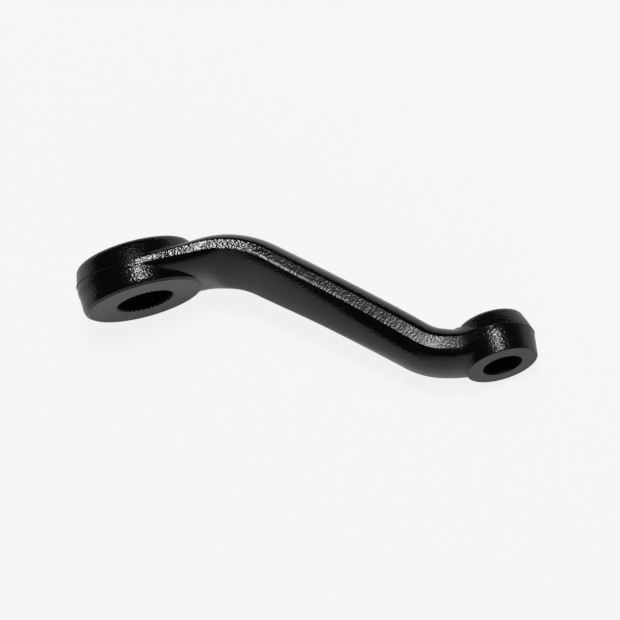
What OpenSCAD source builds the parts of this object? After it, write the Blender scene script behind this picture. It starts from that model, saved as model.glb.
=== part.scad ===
// Dropped pitman arm: a one-piece steel drop forging.
// The splined end takes the steering box's sector shaft, the tapered end takes the ball stud.
// Sizes are millimetres, angles are degrees.
// The arm is drawn about the sector shaft and then laid on its side, as it lies on a bench.

/* [Splined end] */
// Diameter of the machined lower face
hub_face_d = 58.4; // [54:0.2:58.8]
// Largest diameter of the forged wall
hub_wall_d = 63.8; // [63:0.2:66]
// Diameter of the upper edge before it is rounded
hub_top_d = 60.8; // [58:0.2:62.2]
// Size of the rounding at the lower edge
hub_low_round = 2.2; // [0.5:0.1:2.2]
// Height along the sector shaft
hub_h = 24.2; // [23:0.1:30]
// Height of the parting ridge above the lower face
hub_parting_h = 12.2; // [11.5:0.1:13]
// Tilt of the parting ridge, up at the free end
hub_parting_tilt = 6.5; // [0:0.5:8]
// Number of spline teeth
spline_teeth = 36; // [24:4:48]
// Diameter over the tips of the spline teeth
spline_tip_d = 28.4; // [26:0.1:29]
// Depth of the grooves between the teeth
spline_depth = 1.2; // [0.6:0.1:1.4]
// Share of the tip circle that is left as tooth
spline_land = 0.4; // [0.34:0.01:0.5]
// Size of the lead-in chamfer at each mouth
spline_lead = 0.6; // [0.4:0.1:1]

/* [Ball stud end] */
// Diameter of the machined lower face
eye_face_d = 35.8; // [34:0.2:37]
// Largest diameter of the forged wall
eye_wall_d = 40.4; // [38.6:0.2:43]
// Diameter of the upper edge before it is rounded
eye_top_d = 35.2; // [33:0.2:37.4]
// Size of the rounding at the lower edge
eye_low_round = 0.5; // [0.2:0.1:1.2]
// Height along the stud
eye_h = 23.9; // [23:0.1:28]
// Height of the parting ridge above the lower face
eye_parting_h = 14; // [12.5:0.1:14.5]
// Tilt of the parting ridge, down at the free end
eye_parting_tilt = 5.5; // [0:0.5:8]
// Diameter of the stud bore at the lower face
stud_bore_d = 20.4; // [18:0.1:22]
// Length over which the stud taper loses one unit of diameter
stud_taper = 8; // [7:0.5:12]
// Lean of the stud about the length of the arm
stud_lean = 10; // [0:0.5:12]

/* [Layout] */
// Distance between the two axes, square to the sector shaft
reach = 163.1; // [150:0.1:190]
// Distance between the two lower faces, along the sector shaft
drop = 83.8; // [76:0.1:92]
// Straight run from the sector shaft to the upper bend
hub_run = 33; // [28:0.5:36]
// Straight run from the lower bend to the stud
eye_run = 17.6; // [14:0.1:20]
// Radius of the upper bend, at the trimmed edge
upper_bend_r = 45; // [38:0.5:52]
// Radius of the lower bend, at the trimmed edge
lower_bend_r = 30.5; // [26:0.5:36]
// Height of the trimmed edge above the splined end's lower face
hub_edge_h = 12; // [11.6:0.1:13]
// Height of the trimmed edge above the stud end's lower face
eye_edge_h = 12.8; // [12:0.1:14]

/* [Arm section] */
// Width where it leaves the splined end
width_hub = 56.8; // [52:0.2:59]
// Width at the end of the upper bend
width_upper = 54.4; // [48:0.2:57]
// Width half way down the slope
width_mid = 44.6; // [40:0.2:50]
// Width at the start of the lower bend
width_lower = 33.6; // [31:0.2:38]
// Width where it reaches the stud end
width_eye = 32.4; // [31:0.2:37]
// Height above the trimmed edge at the splined end
crown_hub = 8; // [7:0.1:9]
// Height above the trimmed edge in the upper bend
crown_upper = 9.6; // [8:0.1:11]
// Height above the trimmed edge on the slope
crown_mid = 12.4; // [11:0.1:14]
// Height above the trimmed edge in the lower bend
crown_lower = 12.8; // [11:0.1:14]
// Height above the trimmed edge at the stud end
crown_eye = 8.6; // [7:0.1:9.5]
// Depth below the trimmed edge at the splined end
keel_hub = 11.3; // [9.5:0.1:11.4]
// Depth below the trimmed edge in the upper bend
keel_upper = 15.8; // [13:0.1:17]
// Depth below the trimmed edge on the slope
keel_mid = 12.5; // [10:0.1:14]
// Depth below the trimmed edge in the lower bend
keel_lower = 10.1; // [8.5:0.1:12]
// Depth below the trimmed edge at the stud end
keel_eye = 11.2; // [9.5:0.1:11.6]
// Fullness of the back: 2 is an ellipse, more is squarer
back_full = 1.8; // [1.6:0.1:2.6]
// Fullness of the underside at the splined end
under_full_hub = 2.4; // [2:0.1:3]
// Fullness of the underside in the upper bend
under_full_upper = 1.4; // [1.3:0.1:2.4]
// Fullness of the underside on the slope
under_full_mid = 1.4; // [1.3:0.1:2.4]
// Fullness of the underside in the lower bend
under_full_lower = 2.1; // [1.6:0.1:2.8]
// Fullness of the underside at the stud end
under_full_eye = 2.6; // [2:0.1:3]

/* [Forging marks] */
// Half height of the trimmed flat where it grows out of the splined end
trim_start = 1.2; // [0.8:0.1:2]
// Top of the trimmed flat above its edge line, at the splined end
trim_top_hub = 1.8; // [1.4:0.1:3]
// Top of the trimmed flat above its edge line, in the upper bend
trim_top_upper = 1.9; // [1.6:0.1:3.4]
// Top of the trimmed flat above its edge line, on the slope
trim_top_mid = 3.3; // [2:0.1:4]
// Top of the trimmed flat above its edge line, in the lower bend
trim_top_lower = 3.4; // [2:0.1:4]
// Top of the trimmed flat above its edge line, at the stud end
trim_top_eye = 1.4; // [1:0.1:3]
// Foot of the trimmed flat below its edge line, at the splined end
trim_foot_hub = 1.8; // [1.4:0.1:3]
// Foot of the trimmed flat below its edge line, in the upper bend
trim_foot_upper = 2.5; // [1.4:0.1:3.4]
// Foot of the trimmed flat below its edge line, on the slope
trim_foot_mid = 1.9; // [1.4:0.1:3.4]
// Foot of the trimmed flat below its edge line, in the lower bend
trim_foot_lower = 2.7; // [1.6:0.1:3.6]
// Foot of the trimmed flat below its edge line, at the stud end
trim_foot_eye = 3.3; // [2:0.1:3.8]
// Amount the trimmed flat stands out from the arm
trim_step = 0.5; // [0.2:0.1:0.9]
// Amount the parting ridge stands out from the walls of the two ends
ridge = 0.3; // [0.2:0.1:0.9]
// Rise of the fillet from the arm's top to the splined end
hub_fillet = 1.8; // [1:0.1:3.4]
// Rise of the fillet from the arm to the stud end
eye_fillet = 1.8; // [0.8:0.1:2]
// Run of both fillets along the arm
fillet_run = 8; // [4:0.5:10]

/* [Hidden] */
$fa = 4;
$fs = 0.6;
rings = 66;
quarter = 8;
paint = [0.09, 0.09, 0.10];
// Overshoot of the cuts.
over = 1;
// Share of the straight run at which the section starts to grow.
swell = 0.8;
// Least step from the arm to a face of the stud end.
face_step = 0.5;

hub_r = hub_wall_d / 2;
eye_r = eye_wall_d / 2;
stud_bore_top_d = stud_bore_d - eye_h / stud_taper;
spline_root_r = spline_tip_d / 2 + spline_depth;
spline_mouth_r = spline_tip_d / 2 + spline_lead;

// Fall of the stud end when the arm lies on the ridges of its two ends.
lie_a = asin((hub_r + ridge - (eye_r + ridge) * cos(stud_lean)) / reach);

// The path of the trimmed edge: level, upper bend, slope, lower bend, level.
fall = drop + hub_edge_h - eye_edge_h;
bends_r = upper_bend_r + lower_bend_r;
span_x = reach - hub_run - eye_run;
span_z = fall - bends_r;
span = norm([span_x, span_z]);
slope_a = atan2(span_z, span_x) + asin(bends_r / span);
slope_len = sqrt(span * span - bends_r * bends_r);
len_1 = hub_run;
len_2 = len_1 + upper_bend_r * slope_a * PI / 180;
len_3 = len_2 + slope_len;
len_4 = len_3 + lower_bend_r * slope_a * PI / 180;
len_5 = len_4 + eye_run;
p_2 = [hub_run + upper_bend_r * sin(slope_a), hub_edge_h - upper_bend_r * (1 - cos(slope_a))];
p_3 = p_2 + slope_len * [cos(slope_a), -sin(slope_a)];
p_4 = p_3 + lower_bend_r * [sin(slope_a), cos(slope_a) - 1];

// Downward slope of the path at a distance along it.
function path_a(q) =
    q < len_1 ? 0 :
    q < len_2 ? (q - len_1) / upper_bend_r * 180 / PI :
    q < len_3 ? slope_a :
    q < len_4 ? (len_4 - q) / lower_bend_r * 180 / PI :
    0;

// Point of the path, as x and z.
function path_p(q) =
    let (a = path_a(q))
    q < len_1 ? [q, hub_edge_h] :
    q < len_2 ? [hub_run + upper_bend_r * sin(a), hub_edge_h - upper_bend_r * (1 - cos(a))] :
    q < len_3 ? p_2 + (q - len_2) * [cos(slope_a), -sin(slope_a)] :
    q < len_4 ? p_4 + lower_bend_r * [-sin(a), 1 - cos(a)] :
    p_4 + [q - len_4, 0];

// Soft step from 0 to 1, and a smooth curve through values set along the path.
function ease(t) = let (u = min(1, max(0, t))) u * u * (3 - 2 * u);
function tilt(at, v, i) =
    i == 0 || i == len(at) - 1 ? 0 : (v[i + 1] - v[i - 1]) / (at[i + 1] - at[i - 1]);
function curve(q, at, v, i = 0) =
    q <= at[0] ? v[0] :
    q >= at[len(at) - 1] ? v[len(v) - 1] :
    q > at[i + 1] ? curve(q, at, v, i + 1) :
    let (d = at[i + 1] - at[i], t = (q - at[i]) / d, e = ease(t))
    v[i] * (1 - e) + v[i + 1] * e
        + d * t * (1 - t) * (tilt(at, v, i) * (1 - t) - tilt(at, v, i + 1) * t);

len_slope = (len_2 + len_3) / 2;
at_w = [0, len_1, len_2, len_slope, len_3, len_4, len_5];
widths = [width_hub, width_upper, width_mid, width_lower, width_eye];
// The trimmed strip starts half way out on the ridges of the two ends.
half_w = concat(hub_r + ridge / 2, widths / 2, eye_r + ridge / 2);
at_h = [swell * len_1, len_1 + 0.4 * (len_2 - len_1), len_slope, len_4 - 0.4 * (len_4 - len_3),
    len_5 - fillet_run];
at_t = concat(0, at_h);
crowns = [crown_hub, crown_upper, crown_mid, crown_lower, crown_eye];
keels = [keel_hub, keel_upper, keel_mid, keel_lower, keel_eye];
under_fulls = [under_full_hub, under_full_upper, under_full_mid, under_full_lower, under_full_eye];
trim_tops = [trim_start, trim_top_hub, trim_top_upper, trim_top_mid, trim_top_lower, trim_top_eye];
trim_feet = [trim_start, trim_foot_hub, trim_foot_upper, trim_foot_mid, trim_foot_lower, trim_foot_eye];
function lean_at(q) = stud_lean * ease((q / len_5 - 0.33) / 0.66);
function half_at(q) = curve(q, at_w, half_w);

// Rise of a fillet at a distance out from the wall it climbs.
function climb(d, rise) =
    d >= fillet_run ? 0 :
    d <= 0 ? rise :
    rise * (1 - sqrt(1 - pow(1 - d / fillet_run, 2)));
eye_fillet_top = min(eye_fillet, eye_h - eye_edge_h - crown_eye - face_step);
eye_fillet_low = min(eye_fillet, eye_edge_h - keel_eye - face_step);
function off_hub(p) = norm([p[0], p[1]]) - hub_top_d / 2;
function off_eye(p) = norm([p[0] - reach, p[1]]) - eye_top_d / 2;

// One point of a section: side from the arm's middle, height from the trimmed edge.
function place(q, side, high) =
    let (a = path_a(q), t = lean_at(q), c = path_p(q))
    let (y = side * cos(t) + high * sin(t), h = high * cos(t) - side * sin(t))
    [c[0] + h * sin(a), y, c[1] + h * cos(a)];
function dome(q, side, high, share, sign) =
    let (p = place(q, side, sign * high))
    let (hub = sign > 0 ? climb(off_hub(p), hub_fillet) : 0)
    let (eye = climb(off_eye(p), sign > 0 ? eye_fillet_top : eye_fillet_low))
    place(q, side, sign * (high + share * (hub + eye)));
function half_loop(q, edge, tall, full, sign) =
    let (w = half_at(q) - trim_step, e = 2 / full, n = 2 * quarter)
    [for (i = [0:n])
        let (f = 180 * i / n, c = cos(f), s = sin(f))
        dome(q, sign * (c < 0 ? -1 : 1) * w * pow(abs(c), e),
            edge + (tall - edge) * pow(s, e), sqrt(s), sign)];
function loop(q) =
    let (w = half_at(q), top = curve(q, at_t, trim_tops), foot = curve(q, at_t, trim_feet))
    concat(
        [place(q, w, top)],
        half_loop(q, top, curve(q, at_h, crowns), back_full, 1),
        [place(q, -w, top), place(q, -w, -foot)],
        half_loop(q, foot, curve(q, at_h, keels), curve(q, at_h, under_fulls), -1),
        [place(q, w, -foot)]);

module arm() {
    loops = [for (i = [0:rings]) loop(len_5 * i / rings)];
    n = len(loops[0]);
    sides = [for (i = [0:rings - 1]) for (j = [0:n - 1])
        let (a = i * n + j, b = i * n + (j + 1) % n)
        for (t = [[a, a + n, b], [b, a + n, b + n]]) t];
    mids = (rings + 1) * n;
    ends = [for (j = [0:n - 1]) let (k = (j + 1) % n, z = rings * n)
        for (t = [[mids, j, k], [mids + 1, z + k, z + j]]) t];
    points = concat([for (l = loops) for (p = l) p], [place(0, 0, 0), place(len_5, 0, 0)]);
    polyhedron(points, concat(sides, ends), convexity = 6);
}

// A forged end: fullest at mid height, square lower edge, rounded upper edge.
module forged_end(face_d, wall_d, top_d, h, low_round) {
    face_r = face_d / 2;
    wall_r = wall_d / 2;
    top_r = top_d / 2;
    top_round = h / 9;
    belly = 0.5 * h;
    rise = h - top_round - belly;
    shoulder = [for (t = [0:0.25:1]) [wall_r - (wall_r - top_r) * pow(t, 1.3), belly + rise * t]];
    rotate_extrude() polygon(concat(
        [[0, 0], [face_r, 0], [face_r + 0.7 * low_round, 0.45 * low_round],
            [face_r + low_round, 1.3 * low_round]],
        shoulder,
        [[top_r - 0.13 * top_round, h - 0.6 * top_round], [top_r - 0.4 * top_round, h - 0.24 * top_round],
            [top_r - 0.8 * top_round, h], [0, h]]));
}

// The ridge that the parting of the dies left round a forged end: twice as tall as it stands out.
module parting_ridge(wall_d, h, tilt_a) {
    translate([0, 0, h])
        rotate([0, tilt_a, 0])
            cylinder(h = 2 * ridge, d = wall_d + 2 * ridge, center = true);
}

module spline_cut() {
    tip_r = spline_tip_d / 2;
    pitch = 360 / spline_teeth;
    wide = tip_r * sin(pitch * (1 - spline_land) / 2);
    narrow = 0.3 * wide;
    translate([0, 0, -over]) linear_extrude(hub_h + 2 * over) {
        circle(tip_r);
        for (i = [0:spline_teeth - 1])
            rotate(pitch * i)
                polygon([[tip_r - over, -wide], [tip_r * cos(pitch * 0.3), -wide], [spline_root_r, -narrow],
                    [spline_root_r, narrow], [tip_r * cos(pitch * 0.3), wide], [tip_r - over, wide]]);
    }
    for (m = [0, 1])
        translate([0, 0, m * hub_h]) mirror([0, 0, m]) translate([0, 0, -over])
            cylinder(h = 2 * over + spline_lead, r1 = spline_mouth_r + over, r2 = tip_r - over);
}

module stud_cut() {
    flare = over / stud_taper / 2;
    translate([0, 0, -over])
        cylinder(h = eye_h + 2 * over, r1 = stud_bore_d / 2 + flare, r2 = stud_bore_top_d / 2 - flare);
}

// Puts the stud end on the arm, leaning about the middle of its trimmed edge.
module at_eye() {
    translate([reach, 0, hub_edge_h - fall])
        rotate([-stud_lean, 0, 0])
            translate([0, 0, -eye_edge_h])
                children();
}

// Lays the arm on its side: the sector shaft's axis runs along Y, up is +Z.
module lay() {
    rotate([0, lie_a, 0])
        rotate([-90, 0, 0])
            translate([0, 0, -hub_h / 2])
                children();
}

module pitman_arm() {
    color(paint)
        lay()
            difference() {
                union() {
                    arm();
                    forged_end(hub_face_d, hub_wall_d, hub_top_d, hub_h, hub_low_round);
                    parting_ridge(hub_wall_d, hub_parting_h, hub_parting_tilt);
                    at_eye() {
                        forged_end(eye_face_d, eye_wall_d, eye_top_d, eye_h, eye_low_round);
                        parting_ridge(eye_wall_d, eye_parting_h, eye_parting_tilt);
                    }
                }
                spline_cut();
                at_eye() stud_cut();
            }
}

pitman_arm();
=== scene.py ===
"""Dropped pitman arm: a black painted drop forging, lying on its side on a pale floor."""
import math

import bpy
from mathutils import Matrix, Vector, noise


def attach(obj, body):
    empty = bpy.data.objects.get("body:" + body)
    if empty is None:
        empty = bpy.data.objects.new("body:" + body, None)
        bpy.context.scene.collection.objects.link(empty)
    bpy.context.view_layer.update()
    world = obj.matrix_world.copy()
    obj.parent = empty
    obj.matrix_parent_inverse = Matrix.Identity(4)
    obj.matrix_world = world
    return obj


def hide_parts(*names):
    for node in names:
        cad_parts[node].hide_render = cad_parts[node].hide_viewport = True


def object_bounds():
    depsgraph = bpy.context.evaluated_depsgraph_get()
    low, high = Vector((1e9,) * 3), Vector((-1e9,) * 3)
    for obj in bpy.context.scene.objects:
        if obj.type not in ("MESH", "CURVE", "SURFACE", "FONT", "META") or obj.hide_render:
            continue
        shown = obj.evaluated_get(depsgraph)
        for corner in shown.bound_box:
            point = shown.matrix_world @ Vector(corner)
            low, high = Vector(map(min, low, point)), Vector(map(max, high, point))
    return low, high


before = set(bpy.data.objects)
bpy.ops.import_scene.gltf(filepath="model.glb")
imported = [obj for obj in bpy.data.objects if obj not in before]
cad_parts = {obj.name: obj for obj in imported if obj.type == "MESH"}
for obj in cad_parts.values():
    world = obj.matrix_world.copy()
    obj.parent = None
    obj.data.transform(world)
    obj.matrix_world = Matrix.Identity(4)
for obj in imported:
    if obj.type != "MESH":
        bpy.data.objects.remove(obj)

CAD_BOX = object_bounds()
MM = 0.001

# Sizes in millimetres and degrees, as in the part's source; only the flare is the scene's own.
HUB = dict(face_d=58.4, wall_d=63.8, top_d=60.8, low_round=2.2, height=24.2,
           parting=12.2, tilt=6.5, flare=0.22)
EYE = dict(face_d=35.8, wall_d=40.4, top_d=35.2, low_round=0.5, height=23.9,
           parting=14.0, tilt=5.5, flare=0.0)
RIDGE = 0.3
SPLINE_TEETH, SPLINE_TIP_R, SPLINE_DEPTH, SPLINE_LAND, SPLINE_LEAD = 36, 14.2, 1.2, 0.4, 0.6
# Share of a groove's width that is left at its root.
SPLINE_ROOT = 0.3
STUD_BORE_R, STUD_TAPER, STUD_LEAN = 10.2, 8.0, math.radians(10)
REACH, DROP = 163.1, 83.8
HUB_RUN, EYE_RUN = 33.0, 17.6
UPPER_BEND_R, LOWER_BEND_R = 45.0, 30.5
HUB_EDGE_H, EYE_EDGE_H = 12.0, 12.8
# The section from hub to eye, at the distances along the path that are given below.
HALF_WIDTHS = (32.05, 28.4, 27.2, 22.3, 16.8, 16.2, 20.35)
CROWNS = (8.0, 9.6, 12.4, 12.8, 8.6)
KEELS = (11.3, 15.8, 12.5, 10.1, 11.2)
BACK_FULL = 1.8
UNDER_FULLS = (2.4, 1.4, 1.4, 2.1, 2.6)
TRIM_TOPS = (1.2, 1.8, 1.9, 3.3, 3.4, 1.4)
TRIM_FEET = (1.2, 1.8, 2.5, 1.9, 2.7, 3.3)
TRIM_STEP = 0.5
# The eye's lower fillet is limited by its lower face.
HUB_FILLET, EYE_FILLET_TOP, EYE_FILLET_LOW, FILLET_RUN = 1.8, 1.8, 1.1, 8.0
# Shares of the hub's run, and of each bend from its outer end, at which the section's heights are set.
SWELL, BEND_SHARE = 0.8, 0.4
# Shares of the path before the section starts to turn, and over which it turns.
LEAN_FROM, LEAN_OVER = 0.33, 0.66
# Overshoot of the cutters.
OVER = 1

# Profiles of the ends. The lower corner goes out and up from the face, in units of its rounding; the upper
# one goes in and down from the top, in units of a share of the height; the ridge in units of its height.
LOW_CORNER = ((0, 0), (0.7, 0.45), (1, 1.3))
TOP_CORNER = ((0.13, 0.6), (0.4, 0.24), (0.8, 0))
TOP_CORNERS_IN_HEIGHT = 9
SHOULDER_BEND = 1.3
RIDGE_PROFILE = ((0, -0.8), (0.6, -0.45), (0.97, -0.2), (0.97, 0.2), (0.6, 0.45), (0, 0.8))
# Distances below an end's middle between which its wall flares.
FLARE_FROM, FLARE_TO = 1.2, 2.8
# How far the underside is tucked in just below the strip, and the sine at which the tuck is full.
TUCK, TUCK_FULL = 0.4, 0.174

# Marks of the trimming shear. Along the path, in millimetres: where the shear turns rough, before the end
# of the upper bend; where the slope's marks end, before the end of the lower bend; where the lip ends,
# before the lower bend; and the length of each change.
ROUGH_LEAD, SLOPE_TRAIL, LIP_TRAIL = 17, 4, 15
ROUGH_FADE, SLOPE_FADE, LIP_FADE = 16, 16, 40
# Cells of noise to a millimetre along the path, and over the strip's height.
STREAK_ALONG, STREAK_SLANT, STREAK_ACROSS, STREAK_STRETCH = 1.5, 1.5, 2.5, 1.7
WAVE_ALONG, WAVE_ACROSS, LIP_ALONG = 0.3, 1.2, 0.9
STREAK_SEED, WAVE_SEED, LIP_SEED, BORDER_SEED = 5.0, 9.0, 3.0, 13.0
# Depths in millimetres, with what the rough part adds to the streaks.
SHEAR_DEPTH, STREAK_DEPTH, STREAK_ADDS, WAVE_DEPTH, LIP_DEPTH = 0.05, 0.025, 0.01, 0.03, 0.3
# Lean of the strip in degrees, with what the rough part and the slope add.
STRIP_LEAN, ROUGH_ADDS, SLOPE_ADDS = 4.5, 0.7, 4.3
# Shares of the strip above the lip and in it, and how tall the lip is on average and varies.
LIP_FROM, LIP_OVER = 0.78, 0.22
LIP_MEAN, LIP_VARIES = 0.6, 0.4
# The border between the strip's two paints: its noise, how far it wanders, and its place before the slope.
BORDER_ALONG, BORDER_ACROSS, BORDER_WANDERS, BORDER_LEAD = 1.1, 0.9, 14, 3

# How finely the forging is drawn, and the angle from which an edge is sharp.
RINGS = 560
DOME_STEPS = 36
STRIP_STEPS = 12
CONE_STEPS, FLARE_STEPS = 6, 4
SHOULDER_STEPS = 12
LATHE_STEPS = 240
SHARP_ANGLE = math.radians(32)

# Material slots of the forging.
FORGED, HUB_WALL, EYE_WALL, TRIMMED, HUB_FACE, EYE_FACE, BORED, SHEARED = range(8)
# Their paints: name, darkest and lightest grey, range of roughness, and the depths of the orange peel and
# the grain in metres.
PAINT_ROWS = (
    ("forged_paint", 0.002, 0.004, (0.10, 0.16), 0.00011, 0.00002),
    ("hub_wall_paint", 0.002, 0.004, (0.18, 0.24), 0.00017, 0.00002),
    ("eye_wall_paint", 0.002, 0.004, (0.22, 0.28), 0.00018, 0.00002),
    ("trimmed_paint", 0.003, 0.006, (0.14, 0.20), 0.00017, 0.00002),
    ("hub_face_paint", 0.008, 0.012, (0.28, 0.34), 0.00002, 0.00002),
    ("eye_face_paint", 0.008, 0.012, (0.30, 0.36), 0.00002, 0.00002),
    ("bore_paint", 0.012, 0.02, (0.35, 0.5), 0.00003, 0.00003),
    ("sheared_paint", 0.004, 0.008, (0.23, 0.29), 0.0001, 0.00002))
PAINTS = []
# Cells to a metre of the paint's changes in tone and gloss, its orange peel and its grain.
TONE_SCALE, GLOSS_SCALE, PEEL_SCALE, GRAIN_SCALE = 90, 260, 1000, 2400
# Values of the noise at which a range starts and ends.
NOISE_LOW, NOISE_HIGH = 0.3, 0.7

# The floor, and how white it looks by itself to the camera and in reflections.
FLOOR_SIZE, FLOOR_GREY, FLOOR_ROUGH = 16, 0.95, 0.9
CAMERA_GLOW, GLOSSY_GLOW = 0.86, 0.3
# Lamps: name, direction from the part, distance and size in metres, radiance.
LAMPS = (("right_lamp", (0.15, 0.165, 0.975), 2.5, (0.48, 0.46), 35),
         ("back_lamp", (0.08, 0.50, 0.86), 2.5, (1.1, 0.25), 2))
# The way to the room's pale wall, and the room's light from square to that way to straight along it.
WALL_WAY = (0, -1, 0)
ROOM_STOPS = ((0.0, 0.03), (0.7, 0.02), (0.88, 0.4), (1.0, 0.55))
# The camera as found from the photograph: azimuth, elevation and roll in degrees, place in millimetres.
CAMERA_TURN = (13.178, 74.964, -29.856)
CAMERA_AT = (156.033, -371.083, 1258.988)
SENSOR_MM, FOCAL_PX, PICTURE_PX, CLIP_END = 36, 2600, 620, 100

# The path of the trimmed edge: level, upper bend, slope, lower bend, level.
FALL = DROP + HUB_EDGE_H - EYE_EDGE_H
BENDS_R = UPPER_BEND_R + LOWER_BEND_R
SPAN_X = REACH - HUB_RUN - EYE_RUN
SPAN_Z = FALL - BENDS_R
SLOPE_A = math.atan2(SPAN_Z, SPAN_X) + math.asin(BENDS_R / math.hypot(SPAN_X, SPAN_Z))
SLOPE_LEN = math.sqrt(SPAN_X ** 2 + SPAN_Z ** 2 - BENDS_R ** 2)
# Distances along it to the end of each stretch.
LEN_1 = HUB_RUN
LEN_2 = LEN_1 + UPPER_BEND_R * SLOPE_A
LEN_3 = LEN_2 + SLOPE_LEN
LEN_4 = LEN_3 + LOWER_BEND_R * SLOPE_A
LEN_5 = LEN_4 + EYE_RUN
MID_SLOPE = (LEN_2 + LEN_3) / 2
AT_WIDTHS = (0.0, LEN_1, LEN_2, MID_SLOPE, LEN_3, LEN_4, LEN_5)
AT_HEIGHTS = (SWELL * LEN_1, LEN_1 + BEND_SHARE * (LEN_2 - LEN_1), MID_SLOPE,
              LEN_4 - BEND_SHARE * (LEN_4 - LEN_3), LEN_5 - FILLET_RUN)
AT_TRIMS = (0.0,) + AT_HEIGHTS
# Fall of the eye when the arm lies on the ridges of its two ends.
LIE_A = math.asin((HUB["wall_d"] / 2 + RIDGE - (EYE["wall_d"] / 2 + RIDGE) * math.cos(STUD_LEAN)) / REACH)

# Drawn about the sector shaft, then laid on its side.
LAY = (Matrix.Rotation(LIE_A, 4, "Y") @ Matrix.Rotation(-math.pi / 2, 4, "X")
       @ Matrix.Translation((0, 0, -HUB["height"] / 2)))
AT_EYE = (Matrix.Translation((REACH, 0, HUB_EDGE_H - FALL)) @ Matrix.Rotation(-STUD_LEAN, 4, "X")
          @ Matrix.Translation((0, 0, -EYE_EDGE_H)))


def path_angle(q):
    """Downward slope of the path at a distance along it."""
    if q < LEN_1 or q >= LEN_4:
        return 0.0
    if q < LEN_2:
        return (q - LEN_1) / UPPER_BEND_R
    if q < LEN_3:
        return SLOPE_A
    return (LEN_4 - q) / LOWER_BEND_R


def path_point(q):
    """Point of the path, as x and z."""
    a = path_angle(q)
    x2 = HUB_RUN + UPPER_BEND_R * math.sin(SLOPE_A)
    z2 = HUB_EDGE_H - UPPER_BEND_R * (1 - math.cos(SLOPE_A))
    x4 = REACH - EYE_RUN
    z4 = HUB_EDGE_H - FALL
    if q < LEN_1:
        return q, HUB_EDGE_H
    if q < LEN_2:
        return HUB_RUN + UPPER_BEND_R * math.sin(a), HUB_EDGE_H - UPPER_BEND_R * (1 - math.cos(a))
    if q < LEN_3:
        return x2 + (q - LEN_2) * math.cos(SLOPE_A), z2 - (q - LEN_2) * math.sin(SLOPE_A)
    if q < LEN_4:
        return x4 - LOWER_BEND_R * math.sin(a), z4 + LOWER_BEND_R * (1 - math.cos(a))
    return x4 + q - LEN_4, z4


def ease(t):
    """Soft step from 0 to 1."""
    u = min(1.0, max(0.0, t))
    return u * u * (3 - 2 * u)


def curve(q, at, values):
    """Smooth curve through values set along the path."""
    if q <= at[0]:
        return values[0]
    if q >= at[-1]:
        return values[-1]
    i = next(k for k in range(len(at) - 1) if q <= at[k + 1])

    def tilt(k):
        if k in (0, len(at) - 1):
            return 0.0
        return (values[k + 1] - values[k - 1]) / (at[k + 1] - at[k - 1])

    d = at[i + 1] - at[i]
    t = (q - at[i]) / d
    e = ease(t)
    return (values[i] * (1 - e) + values[i + 1] * e
            + d * t * (1 - t) * (tilt(i) * (1 - t) - tilt(i + 1) * t))


def lean_at(q):
    """Turn of the section about the path."""
    return STUD_LEAN * ease((q / LEN_5 - LEAN_FROM) / LEAN_OVER)


def place(q, side, high):
    """Point of a section: side from the arm's middle, height from the trimmed edge."""
    a, t = path_angle(q), lean_at(q)
    x, z = path_point(q)
    y = side * math.cos(t) + high * math.sin(t)
    h = high * math.cos(t) - side * math.sin(t)
    return Vector((x + h * math.sin(a), y, z + h * math.cos(a)))


def climb(d, rise):
    """Rise of a fillet at a distance out from the wall it climbs."""
    if d >= FILLET_RUN:
        return 0.0
    if d <= 0:
        return rise
    return rise * (1 - math.sqrt(1 - (1 - d / FILLET_RUN) ** 2))


def dome_point(q, side, high, share, sign):
    """Point of the rounded back or underside, with the fillets to the two ends."""
    p = place(q, side, sign * high)
    eye_rise = EYE_FILLET_TOP if sign > 0 else EYE_FILLET_LOW
    lift = climb(math.hypot(p.x - REACH, p.y) - EYE["top_d"] / 2, eye_rise)
    if sign > 0:
        lift += climb(math.hypot(p.x, p.y) - HUB["top_d"] / 2, HUB_FILLET)
    return place(q, side, sign * (high + share * lift))


def half_section(q, half, edge, tall, full, sign):
    """The rounded half of a section above or below the trimmed strip; the lower one is tucked in."""
    e = 2 / full
    points = []
    for i in range(DOME_STEPS + 1):
        f = math.pi * i / DOME_STEPS
        c, s = math.cos(f), max(0.0, math.sin(f))
        tuck = TUCK * min(1.0, s / TUCK_FULL) * (1 - s * s) ** 2 if sign < 0 else 0.0
        side = sign * math.copysign((half - TRIM_STEP) * abs(c) ** e - tuck, c)
        high = edge + (tall - edge) * s ** e
        points.append(dome_point(q, side, high, math.sqrt(s), sign))
    return points


def shear_mark(q, share, height, sign):
    """How far the trimming shear left the strip below its full width; share runs from top to foot."""
    rough = ease((q - LEN_2 + ROUGH_LEAD) / ROUGH_FADE)
    on_slope = rough * ease((LEN_4 - SLOPE_TRAIL - q) / SLOPE_FADE)
    with_lip = rough * ease((LEN_3 - LIP_TRAIL - q) / LIP_FADE)
    across = share * (STREAK_ACROSS - STREAK_STRETCH * on_slope)
    streak = noise.noise((q * STREAK_ALONG + share * STREAK_SLANT, across, STREAK_SEED * sign))
    wave = noise.noise((q * WAVE_ALONG, share * WAVE_ACROSS, WAVE_SEED + sign))
    ragged = LIP_MEAN + LIP_VARIES * noise.noise((q * LIP_ALONG, LIP_SEED, sign))
    lip = ease((share - LIP_FROM) / LIP_OVER) * ragged * with_lip
    angle = STRIP_LEAN + ROUGH_ADDS * rough + SLOPE_ADDS * on_slope
    lean = math.tan(math.radians(angle)) * height * share
    streak_depth = STREAK_DEPTH + STREAK_ADDS * rough
    return SHEAR_DEPTH + lean + streak_depth * streak + WAVE_DEPTH * wave - LIP_DEPTH * lip


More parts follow.
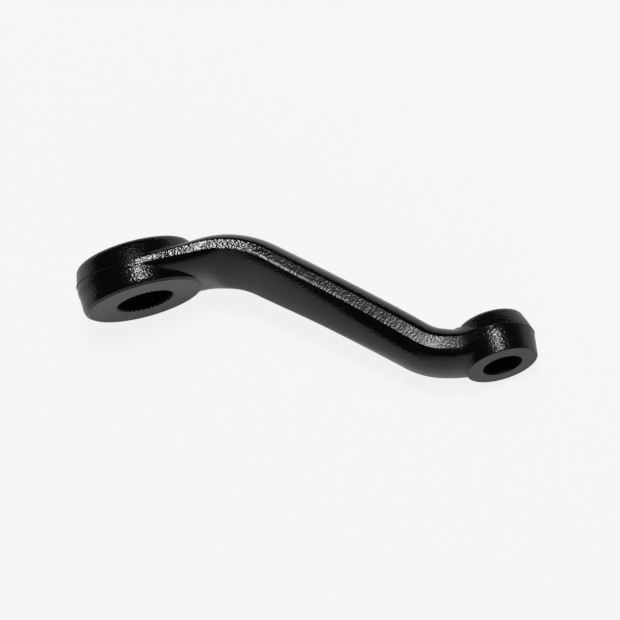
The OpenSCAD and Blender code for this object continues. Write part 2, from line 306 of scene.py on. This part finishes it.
def strip_section(q, half, top, foot, sign):
    """The trimmed strip on one side of a section: downwards on the near side, upwards on the far one."""
    points = []
    for i in range(STRIP_STEPS + 1):
        share = i / STRIP_STEPS if sign > 0 else 1 - i / STRIP_STEPS
        depth = max(0.0, shear_mark(q, share, top + foot, sign))
        points.append(place(q, -sign * (half - depth), top - share * (top + foot)))
    return points


def strip_slots(q, sign):
    """Slots across the strip: one paint up to the slope, another from there on, with a ragged border."""
    borders = [noise.noise((q * BORDER_ALONG, BORDER_ACROSS * i, BORDER_SEED * sign))
               for i in range(STRIP_STEPS)]
    return [TRIMMED if q + BORDER_WANDERS * b < LEN_2 - BORDER_LEAD else SHEARED for b in borders]


def arm_loop(q):
    """One closed section of the arm, with the slot of each of its edges."""
    half = curve(q, AT_WIDTHS, HALF_WIDTHS)
    top, foot = curve(q, AT_TRIMS, TRIM_TOPS), curve(q, AT_TRIMS, TRIM_FEET)
    back = half_section(q, half, top, curve(q, AT_HEIGHTS, CROWNS), BACK_FULL, 1)
    near = strip_section(q, half, top, foot, 1)
    full = curve(q, AT_HEIGHTS, UNDER_FULLS)
    under = half_section(q, half, foot, curve(q, AT_HEIGHTS, KEELS), full, -1)
    far = strip_section(q, half, top, foot, -1)
    slots = ([FORGED] * len(back) + strip_slots(q, 1) + [FORGED] * (1 + len(under))
             + strip_slots(q, -1) + [FORGED])
    return back + near + under + far, slots


def mesh_object(name, verts, faces, slots):
    """Mesh object from millimetre points, with the slot of each face."""
    mesh = bpy.data.meshes.new(name)
    mesh.from_pydata([tuple(v) for v in verts], [], faces)
    for material in PAINTS:
        mesh.materials.append(material)
    mesh.polygons.foreach_set("material_index", slots)
    obj = bpy.data.objects.new(name, mesh)
    bpy.context.scene.collection.objects.link(obj)
    return obj


def make_arm():
    """The shank: one loft along the S-shaped path."""
    verts, faces, face_slots = [], [], []
    loops = [arm_loop(LEN_5 * i / RINGS) for i in range(RINGS + 1)]
    n = len(loops[0][0])
    for points, _ in loops:
        verts += points
    for i in range(RINGS):
        for j in range(n):
            k = (j + 1) % n
            faces.append((i * n + j, i * n + k, (i + 1) * n + k, (i + 1) * n + j))
            face_slots.append(loops[i][1][j])
    for ring, order in ((0, -1), (RINGS, 1)):
        middle = len(verts)
        verts.append(place(LEN_5 * ring / RINGS, 0, 0))
        for j in range(n):
            pair = (ring * n + j, ring * n + (j + 1) % n)
            faces.append((middle,) + pair[::order])
            face_slots.append(FORGED)
    return mesh_object("arm", verts, faces, face_slots)


def lathe(name, profile, matrix, wall, caps):
    """Solid of revolution about z from a run of radius and height, with the slots of wall and caps."""
    verts, faces = [], []
    for i in range(LATHE_STEPS):
        a = 2 * math.pi * i / LATHE_STEPS
        verts += [matrix @ Vector((r * math.cos(a), r * math.sin(a), z)) for r, z in profile]
    n = len(profile)
    for i in range(LATHE_STEPS):
        k = (i + 1) % LATHE_STEPS
        faces += [(i * n + j, k * n + j, k * n + j + 1, i * n + j + 1) for j in range(n - 1)]
    slots = [wall] * len(faces) + [caps] * 2
    for j, order in ((0, -1), (n - 1, 1)):
        faces.append(tuple(i * n + j for i in range(LATHE_STEPS))[::order])
    return mesh_object(name, verts, faces, slots)


def run(a, b, steps):
    """Points from one corner of a profile to the next, without the first."""
    return [(a[0] + (b[0] - a[0]) * i / steps, a[1] + (b[1] - a[1]) * i / steps)
            for i in range(1, steps + 1)]


def make_end(name, end, matrix, wall, face):
    """A forged end: fullest at mid height, flared just below it, with rounded edges."""
    face_r, wall_r, top_r = end["face_d"] / 2, end["wall_d"] / 2, end["top_d"] / 2
    low, h = end["low_round"], end["height"]
    top = h / TOP_CORNERS_IN_HEIGHT
    belly = h / 2
    profile = [(face_r + out * low, up * low) for out, up in LOW_CORNER]
    low_end = profile[-1]
    cone = (wall_r - low_end[0]) / (belly - low_end[1])
    flare_top = (wall_r - cone * FLARE_FROM, belly - FLARE_FROM)
    flare_foot = (wall_r - cone * FLARE_TO - end["flare"], belly - FLARE_TO)
    profile += run(low_end, flare_foot, CONE_STEPS) + run(flare_foot, flare_top, FLARE_STEPS)
    profile.append((wall_r, belly))
    for i in range(1, SHOULDER_STEPS + 1):
        t = i / SHOULDER_STEPS
        profile.append((wall_r - (wall_r - top_r) * t ** SHOULDER_BEND, belly + (h - top - belly) * t))
    profile += [(top_r - inwards * top, h - down * top) for inwards, down in TOP_CORNER]
    return lathe(name, profile, matrix, wall, face)


def make_ridge(name, end, matrix, wall):
    """The ridge that the parting of the dies left round a forged end, with rounded corners."""
    r = end["wall_d"] / 2
    profile = [(r + out * RIDGE, up * RIDGE) for out, up in RIDGE_PROFILE]
    tilt = Matrix.Rotation(math.radians(end["tilt"]), 4, "Y")
    return lathe(name, profile, matrix @ Matrix.Translation((0, 0, end["parting"])) @ tilt, wall, wall)


def make_spline_cutter():
    """The splined bore, without the chamfers at its mouths."""
    pitch = 2 * math.pi / SPLINE_TEETH
    root_r = SPLINE_TIP_R + SPLINE_DEPTH
    wide = pitch * (1 - SPLINE_LAND) / 2
    narrow = SPLINE_ROOT * wide
    outline = []
    for i in range(SPLINE_TEETH):
        for r, a in ((SPLINE_TIP_R, -wide), (root_r, -narrow), (root_r, narrow), (SPLINE_TIP_R, wide),
                     (SPLINE_TIP_R, pitch / 2)):
            outline.append((r * math.cos(pitch * i + a), r * math.sin(pitch * i + a)))
    n = len(outline)
    verts = [LAY @ Vector((x, y, z)) for z in (-OVER, HUB["height"] + OVER) for x, y in outline]
    faces = [(j, (j + 1) % n, n + (j + 1) % n, n + j) for j in range(n)]
    faces += [tuple(range(n))[::-1], tuple(range(n, 2 * n))]
    return mesh_object("spline_cutter", verts, faces, [BORED] * len(faces))


def make_mouth_cutter(matrix, name):
    """Lead-in chamfer of the splined bore."""
    mouth_r = SPLINE_TIP_R + SPLINE_LEAD
    profile = [(mouth_r + OVER, -OVER), (SPLINE_TIP_R - OVER, SPLINE_LEAD + OVER)]
    return lathe(name, profile, matrix, BORED, BORED)


def make_stud_cutter():
    """The tapered bore for the ball stud."""
    slope = 1 / STUD_TAPER / 2
    far_end = EYE["height"] + OVER
    profile = [(STUD_BORE_R + OVER * slope, -OVER), (STUD_BORE_R - far_end * slope, far_end)]
    return lathe("stud_cutter", profile, LAY @ AT_EYE, BORED, BORED)


def combine(target, other, operation):
    """Boolean of two solids, applied to the first; the second is removed."""
    modifier = target.modifiers.new(operation, "BOOLEAN")
    modifier.object = other
    modifier.operation = operation
    modifier.solver = "MANIFOLD"
    modifier.material_mode = "INDEX"
    shape = target.evaluated_get(bpy.context.evaluated_depsgraph_get())
    mesh = bpy.data.meshes.new_from_object(shape)
    target.modifiers.clear()
    target.data = mesh
    bpy.data.objects.remove(other)


def make_forging():
    """Shank, hub and eye in one piece, with both bores cut."""
    forging = make_arm()
    forging.data.transform(LAY)
    hub_top = LAY @ Matrix.Translation((0, 0, HUB["height"])) @ Matrix.Diagonal((1, -1, -1, 1))
    steps = [
        (make_end("hub", HUB, LAY, HUB_WALL, HUB_FACE), "UNION"),
        (make_ridge("hub_ridge", HUB, LAY, HUB_WALL), "UNION"),
        (make_end("eye", EYE, LAY @ AT_EYE, EYE_WALL, EYE_FACE), "UNION"),
        (make_ridge("eye_ridge", EYE, LAY @ AT_EYE, EYE_WALL), "UNION"),
        (make_spline_cutter(), "DIFFERENCE"),
        (make_mouth_cutter(LAY, "mouth_low"), "DIFFERENCE"),
        (make_mouth_cutter(hub_top, "mouth_high"), "DIFFERENCE"),
        (make_stud_cutter(), "DIFFERENCE")]
    for other, operation in steps:
        combine(forging, other, operation)
    forging.name = "forging"
    mesh = forging.data
    mesh.name = "forging"
    mesh.transform(Matrix.Scale(MM, 4))
    mesh.shade_smooth()
    mesh.set_sharp_from_angle(angle=SHARP_ANGLE)
    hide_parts("pitman_arm")
    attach(forging, "root")


def new_material(name):
    """Node material, with its tree and Principled shader."""
    material = bpy.data.materials.new(name)
    material.use_nodes = True
    tree = material.node_tree
    return material, tree, tree.nodes["Principled BSDF"]


def noise_value(tree, scale, detail):
    """Noise in object space; the scale is in cells to a metre."""
    coords = tree.nodes.new("ShaderNodeTexCoord")
    node = tree.nodes.new("ShaderNodeTexNoise")
    node.inputs["Scale"].default_value = scale
    node.inputs["Detail"].default_value = detail
    tree.links.new(coords.outputs["Object"], node.inputs["Vector"])
    return node.outputs["Fac"]


def grey_ramp(tree, source, stops):
    """Greys over a value."""
    node = tree.nodes.new("ShaderNodeValToRGB")
    ramp = node.color_ramp
    while len(ramp.elements) < len(stops):
        ramp.elements.new(0.5)
    for element, (at, grey) in zip(ramp.elements, stops):
        element.position = at
        element.color = (grey, grey, grey, 1)
    tree.links.new(source, node.inputs["Fac"])
    return node.outputs["Color"]


def bump_normal(tree, source, distance, below=None):
    """Bump from a height, over another bump where one is given."""
    node = tree.nodes.new("ShaderNodeBump")
    node.inputs["Distance"].default_value = distance
    node.inputs["Strength"].default_value = 1.0
    tree.links.new(source, node.inputs["Height"])
    if below is not None:
        tree.links.new(below, node.inputs["Normal"])
    return node.outputs["Normal"]


def make_paint(name, dark, light, gloss, peel, grain):
    """Black paint: grey from dark to light, roughness range, depths of orange peel and grain in metres."""
    material, tree, shader = new_material(name)
    tone_noise = noise_value(tree, TONE_SCALE, detail=4)
    tone = grey_ramp(tree, tone_noise, [(NOISE_LOW, dark), (NOISE_HIGH, light)])
    tree.links.new(tone, shader.inputs["Base Color"])
    gloss_noise = noise_value(tree, GLOSS_SCALE, detail=3)
    rough = grey_ramp(tree, gloss_noise, [(NOISE_LOW, gloss[0]), (NOISE_HIGH, gloss[1])])
    tree.links.new(rough, shader.inputs["Roughness"])
    bump = bump_normal(tree, noise_value(tree, PEEL_SCALE, detail=0), peel)
    bump = bump_normal(tree, noise_value(tree, GRAIN_SCALE, detail=2), grain, below=bump)
    tree.links.new(bump, shader.inputs["Normal"])
    return material


def mix_shaders(tree, factor, first, second):
    """Mix of two shaders by a number or by an output."""
    node = tree.nodes.new("ShaderNodeMixShader")
    if isinstance(factor, float):
        node.inputs["Fac"].default_value = factor
    else:
        tree.links.new(factor, node.inputs["Fac"])
    tree.links.new(first, node.inputs[1])
    tree.links.new(second, node.inputs[2])
    return node.outputs["Shader"]


def make_floor(z):
    """Pale floor that looks nearly white to the camera, less so in reflections, and keeps the shadow."""
    bpy.ops.mesh.primitive_plane_add(size=FLOOR_SIZE, location=(0, 0, z))
    floor = bpy.context.object
    floor.name = "floor"
    material, tree, shader = new_material("pale_floor")
    shader.inputs["Base Color"].default_value = (FLOOR_GREY, FLOOR_GREY, FLOOR_GREY, 1)
    shader.inputs["Roughness"].default_value = FLOOR_ROUGH
    shader.inputs["Specular IOR Level"].default_value = 0.0
    glow = tree.nodes.new("ShaderNodeEmission")
    glow.inputs["Color"].default_value = (1, 1, 1, 1)
    glow.inputs["Strength"].default_value = 1.0
    rays = tree.nodes.new("ShaderNodeLightPath")
    plain = look = shader.outputs["BSDF"]
    for kind, share in (("Is Glossy Ray", GLOSSY_GLOW), ("Is Transmission Ray", GLOSSY_GLOW),
                        ("Is Camera Ray", CAMERA_GLOW)):
        seen = mix_shaders(tree, share, plain, glow.outputs["Emission"])
        look = mix_shaders(tree, rays.outputs[kind], look, seen)
    tree.links.new(look, tree.nodes["Material Output"].inputs["Surface"])
    floor.data.materials.append(material)


def add_softbox(name, direction, distance, size, radiance, target):
    """Rectangular lamp aimed at a point, its first side level with x."""
    data = bpy.data.lights.new(name, "AREA")
    data.shape = "RECTANGLE"
    data.size, data.size_y = size
    data.energy = radiance * math.pi * size[0] * size[1]
    lamp = bpy.data.objects.new(name, data)
    bpy.context.scene.collection.objects.link(lamp)
    back = Vector(direction).normalized()
    side = (Vector((1, 0, 0)) - back * back.x).normalized()
    turned = Matrix((side, back.cross(side), back)).transposed().to_4x4()
    turned.translation = target + back * distance
    lamp.matrix_world = turned


def set_world():
    """Room light: a pale wall low down on the underside's side of the part, dim elsewhere."""
    world = bpy.data.worlds.new("room")
    bpy.context.scene.world = world
    world.use_nodes = True
    tree = world.node_tree
    coords = tree.nodes.new("ShaderNodeTexCoord")
    facing = tree.nodes.new("ShaderNodeVectorMath")
    facing.operation = "DOT_PRODUCT"
    facing.inputs[1].default_value = WALL_WAY
    tree.links.new(coords.outputs["Generated"], facing.inputs[0])
    light = grey_ramp(tree, facing.outputs["Value"], ROOM_STOPS)
    tree.links.new(light, tree.nodes["Background"].inputs["Color"])
    tree.nodes["Background"].inputs["Strength"].default_value = 1.0


def add_camera():
    """Camera at the photograph's viewing angle."""
    azimuth, elevation, roll = (math.radians(a) for a in CAMERA_TURN)
    back = Vector((math.sin(azimuth) * math.cos(elevation), -math.cos(azimuth) * math.cos(elevation),
                   math.sin(elevation)))
    level = Vector((math.cos(azimuth), math.sin(azimuth), 0))
    right = level * math.cos(roll) + back.cross(level) * math.sin(roll)
    up = back.cross(right)
    data = bpy.data.cameras.new("camera")
    data.sensor_width = SENSOR_MM
    data.lens = SENSOR_MM * FOCAL_PX / PICTURE_PX
    data.clip_end = CLIP_END
    camera = bpy.data.objects.new("camera", data)
    place_at = Matrix((right, up, back)).transposed().to_4x4()
    place_at.translation = Vector(CAMERA_AT) * MM
    camera.matrix_world = place_at
    bpy.context.scene.collection.objects.link(camera)
    bpy.context.scene.camera = camera


def main():
    """Camera, part, floor and light."""
    add_camera()
    PAINTS.extend(make_paint(*row) for row in PAINT_ROWS)
    make_forging()
    make_floor(CAD_BOX[0][2])
    centre = (Vector(CAD_BOX[0]) + Vector(CAD_BOX[1])) / 2
    for lamp in LAMPS:
        add_softbox(*lamp, centre)
    set_world()
    bpy.context.scene.view_settings.view_transform = "Standard"


main()
